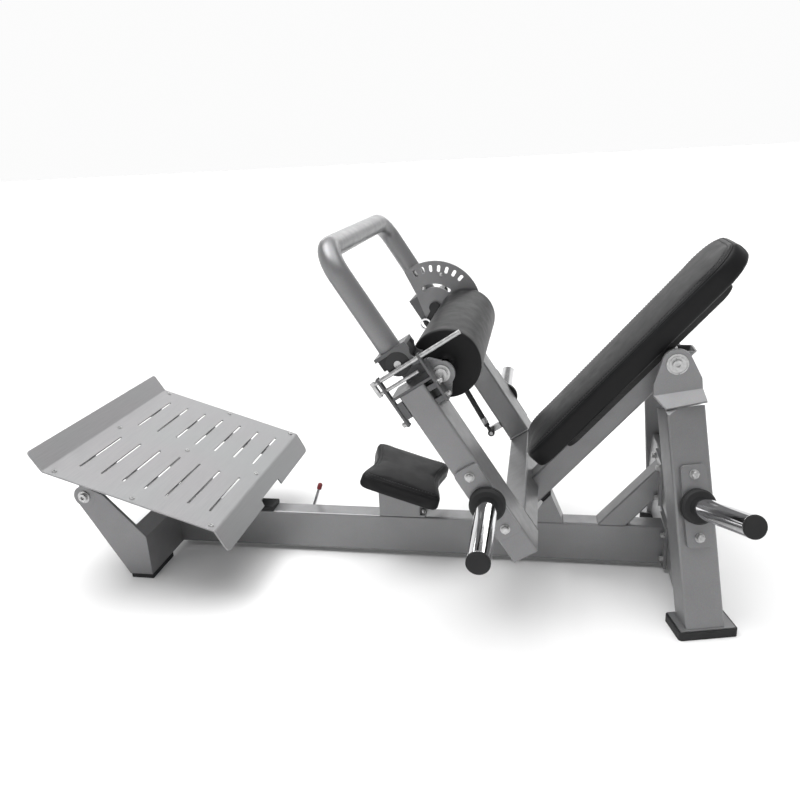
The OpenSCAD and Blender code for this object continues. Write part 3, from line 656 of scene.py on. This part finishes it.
def weld(name, corners, body, radius=0.0022, closed=True):
    """A rippled weld bead along a line of corners."""
    points = []
    pairs = list(zip(corners, corners[1:]))
    if closed:
        pairs.append((corners[-1], corners[0]))
    for first, second in pairs:
        first, second = Vector(first) * MM, Vector(second) * MM
        pieces = max(2, int((second - first).length / 0.0022))
        for k in range(pieces):
            points.append(first.lerp(second, k / pieces))
    draw = random.Random(len(points))
    mesh = tube_along(points, radius, sides=8, closed=closed)
    for i, vertex in enumerate(mesh.verts):
        ring = i // 8
        swell = 1.0 + 0.16 * math.cos(ring * 2.1) + draw.uniform(-0.04, 0.04)
        vertex.co = points[ring] + (vertex.co - points[ring]) * swell
    bead = object_from_bmesh(name, mesh, WELD_LIT_PAINT)
    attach(bead, body)


def turned(name, profile, foot, axis, material, body, sides=48):
    """A closed form turned about an axis; profile points are along and out, in millimetres."""
    axis = Vector(axis).normalized()
    across = axis.orthogonal().normalized()
    up = axis.cross(across)
    foot = Vector(foot) * MM
    mesh = bmesh.new()
    rings = []
    for along, out in profile:
        ring = []
        for k in range(sides):
            turn = 2 * math.pi * k / sides
            spoke = math.cos(turn) * across + math.sin(turn) * up
            ring.append(mesh.verts.new(foot + axis * along * MM + spoke * out * MM))
        rings.append(ring)
    rings.append(rings[0])
    for low, high in zip(rings, rings[1:]):
        for k in range(sides):
            j = (k + 1) % sides
            mesh.faces.new((low[k], low[j], high[j], high[k]))
    made = object_from_bmesh(name, mesh, material)
    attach(made, body)


def ring_profile(start, end, inner, outer, edge):
    """Section of a ring with softened outer edges."""
    return [(start, inner), (start, outer - edge), (start + edge * 0.3, outer - edge * 0.3),
            (start + edge, outer), (end - edge, outer), (end - edge * 0.3, outer - edge * 0.3),
            (end, outer - edge), (end, inner)]


GAS_EYE = (339.0, -30.0)
GAS_PIN = (-37.0, -8.3)


def build_fittings():
    """Bright bands on the gas spring."""
    eye = Vector(arm_point(*GAS_EYE, 232.0))
    pin = Vector(arm_point(*GAS_PIN, 232.0))
    run = pin - eye
    zinc = SLOT_MATERIALS["zinc"]
    turned("gas_band", ring_profile(34, 52, 7.4, 9.0, 0.8), eye, run, zinc, "gas_body")
    turned("gas_collar", ring_profile(226, 236, 7.4, 8.8, 0.8), eye, run, zinc, "gas_body")


def arm_point(u, n, y):
    """A point in the arms' own axes, in millimetres."""
    cosine, sine = math.cos(ARM_ANGLE), math.sin(ARM_ANGLE)
    return (103.8 + u * cosine + n * sine, y, 578.6 - u * sine + n * cosine)


def build_welds():
    for side in (-1, 1):
        name = "near" if side < 0 else "far"
        y = side * 253.2
        cross = [arm_point(392, 0.6, y), arm_point(392, 64.4, y)]
        weld(f"weld_cross_{name}", cross, "swing_frame", closed=False)


# ---- studio -------------------------------------------------------------------------------

CAMERA_PLACE = Vector((0.4016, -1.8223, 1.0841))
CAMERA_HEADING = 0.199
CAMERA_PITCH = -0.327
CAMERA_ROLL = 0.053
CAMERA_LENS = 33.41
SENSOR = 36.0


def build_camera():
    turn = (
        Matrix.Rotation(CAMERA_HEADING, 3, "Z")
        @ Matrix.Rotation(CAMERA_PITCH, 3, "X")
        @ Matrix.Rotation(CAMERA_ROLL, 3, "Y")
    )
    right, ahead, up = turn.col[0], turn.col[1], turn.col[2]
    data = bpy.data.cameras.new("camera")
    data.sensor_width = SENSOR
    data.lens = CAMERA_LENS
    camera = bpy.data.objects.new("camera", data)
    axes = Matrix((right, up, -ahead)).transposed().to_4x4()
    camera.matrix_world = Matrix.Translation(CAMERA_PLACE) @ axes
    bpy.context.scene.collection.objects.link(camera)
    bpy.context.scene.camera = camera


def build_floor():
    size = 60.0
    mesh = bmesh.new()
    bmesh.ops.create_grid(mesh, x_segments=4, y_segments=4, size=size)
    s = Shader("floor", FLOOR_COLOR, 0.0, 0.85)
    s.bsdf.inputs["Specular IOR Level"].default_value = 0.1
    s.set("Base Color", s.blend(s.noise(0.8, 3), scaled(FLOOR_COLOR, 0.99), scaled(FLOOR_COLOR, 1.01)))
    floor = object_from_bmesh("floor", mesh, s.material)


FLOOR_COLOR = (0.86, 0.86, 0.86)
# Brightness of the sky against the sine of its height above the horizon
SKY = [(0.0, 0.97), (0.19, 0.97), (0.27, 0.30), (0.72, 0.22), (0.88, 2.6), (1.0, 3.6)]


def build_light():
    """A soft sky: bright near the horizon, dim half way up and strong overhead."""
    world = bpy.data.worlds.new("studio")
    bpy.context.scene.world = world
    world.use_nodes = True
    tree = world.node_tree
    coords = tree.nodes.new("ShaderNodeTexCoord")
    split = tree.nodes.new("ShaderNodeSeparateXYZ")
    ramp = tree.nodes.new("ShaderNodeValToRGB")
    stops = ramp.color_ramp.elements
    while len(stops) < len(SKY):
        stops.new(0.5)
    for stop, (height, value) in zip(stops, SKY):
        stop.position = height
        stop.color = (value, value, value, 1)
    tree.links.new(coords.outputs["Generated"], split.inputs["Vector"])
    tree.links.new(split.outputs["Z"], ramp.inputs["Fac"])
    tree.links.new(ramp.outputs["Color"], tree.nodes["Background"].inputs["Color"])
    light = bpy.data.lights.new("soft_box", "AREA")
    light.shape = "RECTANGLE"
    light.size = 2.2
    light.size_y = 1.2
    light.energy = 38
    lamp = bpy.data.objects.new("soft_box", light)
    lamp.location = (-1.0, -0.3, 3.0)
    aim = Vector((0.1, 0, 0.4)) - lamp.location
    lamp.rotation_euler = aim.to_track_quat("-Z", "Y").to_euler()
    bpy.context.scene.collection.objects.link(lamp)
    back = bpy.data.lights.new("back_panel", "AREA")
    back.shape = "RECTANGLE"
    back.size = 10.0
    back.size_y = 1.6
    back.energy = 170
    panel = bpy.data.objects.new("back_panel", back)
    panel.location = (-0.6, 8.0, 4.1)
    aim = Vector((0.2, 0, 0.7)) - panel.location
    panel.rotation_euler = aim.to_track_quat("-Z", "Y").to_euler()
    bpy.context.scene.collection.objects.link(panel)
    bpy.context.scene.view_settings.view_transform = "Standard"


dress_cad_nodes()
build_back_pad()
build_seat_pad()
build_roller()
build_welds()
build_fittings()
build_floor()
build_light()
build_camera()
